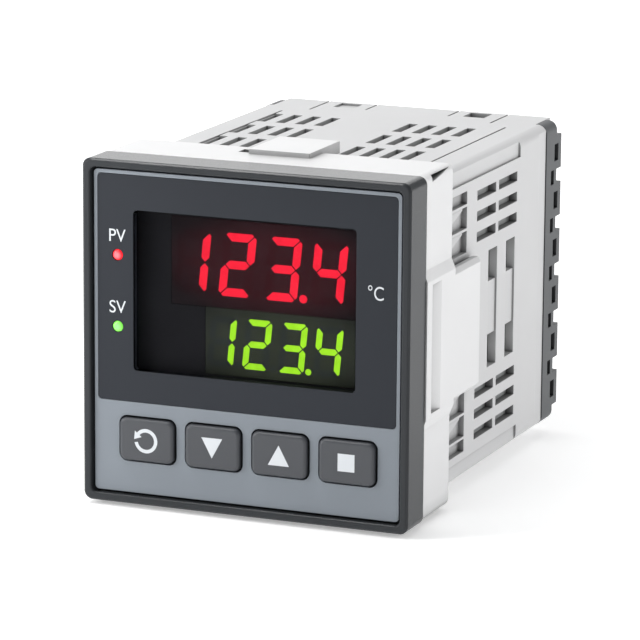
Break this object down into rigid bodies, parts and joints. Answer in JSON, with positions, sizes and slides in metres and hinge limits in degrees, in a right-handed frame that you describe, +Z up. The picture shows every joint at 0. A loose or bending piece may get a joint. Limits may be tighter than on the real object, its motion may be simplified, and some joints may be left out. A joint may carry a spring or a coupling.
{
  "type": "panel-mounted temperature controller",
  "caption": "Square panel controller with a dark bezel, two numeric displays, push keys, a vented case, a sliding mounting adapter and rear screw terminals.",
  "frame": {"origin": "middle of the footprint that the controller stands on, under the lower tab of the mounting adapter", "axes": "+X to the right seen from the front, +Y into the depth from the bezel towards the terminals, +Z up"},
  "size_m": [0.0484, 0.0658, 0.0492],
  "materials": {
    "bezel_plastic": "fine moulded texture",
    "gasket_rubber": "smooth",
    "silver_plate": "satin silver",
    "dark_panel": "satin",
    "smoked_window": "polished",
    "red_lens": "clear red",
    "green_lens": "clear green",
    "red_bars": "lit red",
    "green_bars": "lit yellow-green",
    "blank_bars": "unlit",
    "module_plastic": "matt black",
    "pv_face": "matt black with a red cast",
    "sv_face": "matt grey-green",
    "sv_blank_bars": "unlit, grey-green",
    "key_plastic": "fine moulded texture",
    "key_symbol": "satin white",
    "switch_plastic": "matt",
    "plunger_plastic": "matt",
    "case_plastic": "fine moulded texture",
    "adapter_plastic": "smooth",
    "terminal_plastic": "matt",
    "plated_screw": "zinc plated",
    "brass_clamp": "tinned",
    "board_laminate": "green solder mask",
    "chip_epoxy": "matt black",
    "ferrite": "dull",
    "relay_plastic": "smooth",
    "can_aluminium": "brushed",
    "liner_card": "matt card"
  },
  "bodies": {
    "controller_case": {"front_bezel": "bezel_plastic", "panel_gasket": "gasket_rubber", "housing": "case_plastic", "front_plate": "silver_plate", "display_mask": "dark_panel", "window_lens": "smoked_window", "pv_indicator": "red_lens", "sv_indicator": "green_lens", "pv_display": "pv_face", "pv_lit_segments": "red_bars", "pv_blank_segments": "blank_bars", "sv_display": "sv_face", "sv_lit_segments": "green_bars", "sv_blank_segments": "sv_blank_bars", "display_shade": "module_plastic", "display_board": "board_laminate", "tact_switches": "switch_plastic", "processor_chip": "chip_epoxy", "driver_chips": "chip_epoxy", "power_board": "board_laminate", "control_board": "board_laminate", "transformer": "ferrite", "output_relay": "relay_plastic", "power_capacitors": "can_aluminium", "board_headers": "switch_plastic", "terminal_block": "terminal_plastic", "terminal_clamps": "brass_clamp", "terminal_screws": "plated_screw", "side_liners": "liner_card"},
    "mode_button": {"mode_key": "key_plastic", "mode_legend": "key_symbol", "mode_plunger": "plunger_plastic"},
    "down_button": {"down_key": "key_plastic", "down_legend": "key_symbol", "down_plunger": "plunger_plastic"},
    "up_button": {"up_key": "key_plastic", "up_legend": "key_symbol", "up_plunger": "plunger_plastic"},
    "stop_button": {"stop_key": "key_plastic", "stop_legend": "key_symbol", "stop_plunger": "plunger_plastic"},
    "adapter": {"mounting_adapter": "adapter_plastic"}
  },
  "joints": [
    {"name": "mode_press", "type": "slide", "parent": "controller_case", "child": "mode_button", "axis": [0, 1, 0], "range_m": [0, 0.0003], "stiffness_N_per_m": 4000},
    {"name": "down_press", "type": "slide", "parent": "controller_case", "child": "down_button", "axis": [0, 1, 0], "range_m": [0, 0.0003], "stiffness_N_per_m": 4000},
    {"name": "up_press", "type": "slide", "parent": "controller_case", "child": "up_button", "axis": [0, 1, 0], "range_m": [0, 0.0003], "stiffness_N_per_m": 4000},
    {"name": "stop_press", "type": "slide", "parent": "controller_case", "child": "stop_button", "axis": [0, 1, 0], "range_m": [0, 0.0003], "stiffness_N_per_m": 4000},
    {"name": "adapter_slide", "type": "slide", "parent": "controller_case", "child": "adapter", "axis": [0, 1, 0], "range_m": [0, 0.048]}
  ]
}
